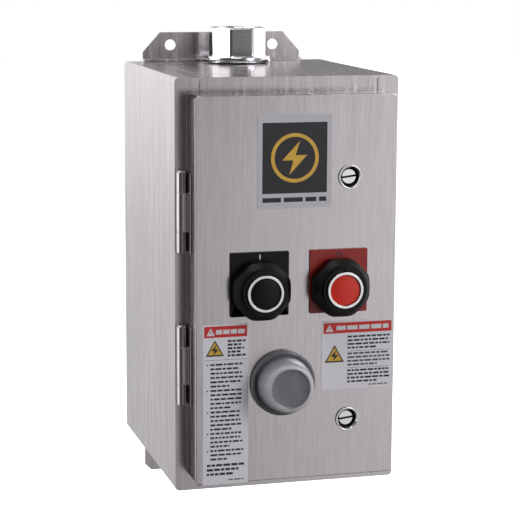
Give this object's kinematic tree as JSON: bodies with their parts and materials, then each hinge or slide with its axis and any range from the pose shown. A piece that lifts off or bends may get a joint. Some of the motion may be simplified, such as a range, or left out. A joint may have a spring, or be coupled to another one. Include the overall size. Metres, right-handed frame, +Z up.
{
  "type": "enclosed motor starter",
  "caption": "Stainless wall box with a hinged door carrying start, stop and booted reset operators, and a contactor with an overload relay inside.",
  "frame": {"origin": "centre of the box's back face, where it stands against the wall", "axes": "+X to the right of a person who faces the door, +Y into the wall, +Z up; the door faces -Y"},
  "size_m": [0.166, 0.232, 0.366],
  "materials": {
    "stainless": "vertical brushed grain",
    "bright_metal": "polished plating",
    "zinc_plate": "pale yellow zinc plate",
    "spring_steel": "drawn wire",
    "magnet_iron": "laminated iron",
    "copper": "satin copper",
    "heater_alloy": "satin alloy",
    "brown_phenolic": "moulded phenolic",
    "black_plastic": "satin moulded",
    "charcoal_plastic": "satin moulded",
    "grey_plastic": "satin moulded",
    "cream_plastic": "satin moulded",
    "blue_plastic": "moulded",
    "red_plastic": "moulded",
    "seal_rubber": "closed cell",
    "clear_silicone": "milky translucent",
    "wire_jacket": "satin jacket",
    "silver_label": "satin film",
    "white_label": "satin film"
  },
  "bodies": {
    "enclosure": {"enclosure_shell": "stainless", "enclosure_roof": "stainless", "enclosure_floor": "stainless", "top_mounting_bracket": "stainless", "bottom_mounting_bracket": "stainless", "frame_hinge_leaves": "stainless", "hinge_pins": "bright_metal", "top_conduit_hub": "bright_metal", "bottom_conduit_hub": "bright_metal", "hub_seals": "seal_rubber", "hub_locknuts": "zinc_plate", "latch_brackets": "stainless", "mounting_panel": "zinc_plate", "panel_nuts": "zinc_plate", "contactor_base": "brown_phenolic", "contactor_cover": "black_plastic", "magnet_core": "magnet_iron", "magnet_coil": "copper", "fixed_contacts": "copper", "power_straps": "copper", "terminal_screws": "zinc_plate", "overload_housing": "charcoal_plastic", "heater_elements": "heater_alloy", "load_terminals": "copper", "ground_lug": "zinc_plate", "starter_screws": "zinc_plate", "control_harness": "wire_jacket", "carrier_springs": "spring_steel", "overload_reset_spring": "spring_steel"},
    "armature": {"armature": "magnet_iron", "contact_carrier": "cream_plastic", "bridge_contacts": "copper"},
    "overload_reset": {"overload_reset_bar": "blue_plastic"},
    "door": {"door_panel": "stainless", "door_gasket": "seal_rubber", "door_hinge_leaves": "stainless", "name_label": "silver_label", "tall_hazard_label": "white_label", "wide_hazard_label": "white_label", "operator_gaskets": "seal_rubber", "operator_bezels": "bright_metal", "start_legend_plate": "black_plastic", "start_bushing": "grey_plastic", "start_ring_nut": "black_plastic", "start_contact_block": "black_plastic", "start_spring": "spring_steel", "stop_legend_plate": "red_plastic", "stop_bushing": "grey_plastic", "stop_ring_nut": "black_plastic", "stop_contact_block": "black_plastic", "stop_spring": "spring_steel", "reset_bushing": "bright_metal", "reset_boot": "clear_silicone", "reset_spring": "spring_steel", "screw_ferrules": "bright_metal"},
    "start_button": {"start_button": "black_plastic"},
    "stop_button": {"stop_button": "red_plastic"},
    "reset_button": {"reset_button": "black_plastic"},
    "upper_screw": {"upper_door_screw": "bright_metal"},
    "lower_screw": {"lower_door_screw": "bright_metal"}
  },
  "joints": [
    {"name": "door_swing", "type": "hinge", "parent": "enclosure", "child": "door", "pos_m": [-0.079, -0.1895, 0], "axis": [0, 0, -1], "range_deg": [0, 130], "deforming": ["control_harness"]},
    {"name": "start_press", "type": "slide", "parent": "door", "child": "start_button", "axis": [0, 1, 0], "range_m": [0, 0.004], "stiffness_N_per_m": 700, "springref_m": -0.004, "deforming": ["start_spring"]},
    {"name": "stop_press", "type": "slide", "parent": "door", "child": "stop_button", "axis": [0, 1, 0], "range_m": [0, 0.004], "stiffness_N_per_m": 700, "springref_m": -0.004, "deforming": ["stop_spring"]},
    {"name": "reset_press", "type": "slide", "parent": "door", "child": "reset_button", "axis": [0, 1, 0], "range_m": [0, 0.005], "stiffness_N_per_m": 500, "springref_m": -0.004, "deforming": ["reset_spring", "reset_boot"]},
    {"name": "overload_reset_press", "type": "slide", "parent": "enclosure", "child": "overload_reset", "axis": [0, 1, 0], "range_m": [0, 0.005], "stiffness_N_per_m": 300, "springref_m": -0.003, "deforming": ["overload_reset_spring"]},
    {"name": "armature_pull", "type": "slide", "parent": "enclosure", "child": "armature", "axis": [0, 1, 0], "range_m": [0, 0.004], "stiffness_N_per_m": 1200, "springref_m": -0.003, "deforming": ["carrier_springs"]},
    {"name": "upper_screw_run", "type": "slide", "parent": "door", "child": "upper_screw", "axis": [0, 1, 0], "range_m": [0, 0.00635]},
    {"name": "lower_screw_run", "type": "slide", "parent": "door", "child": "lower_screw", "axis": [0, 1, 0], "range_m": [0, 0.00635]}
  ],
  "couplings": [
    {"joint": "overload_reset_press", "follows": "reset_press", "ratio": 1}
  ]
}
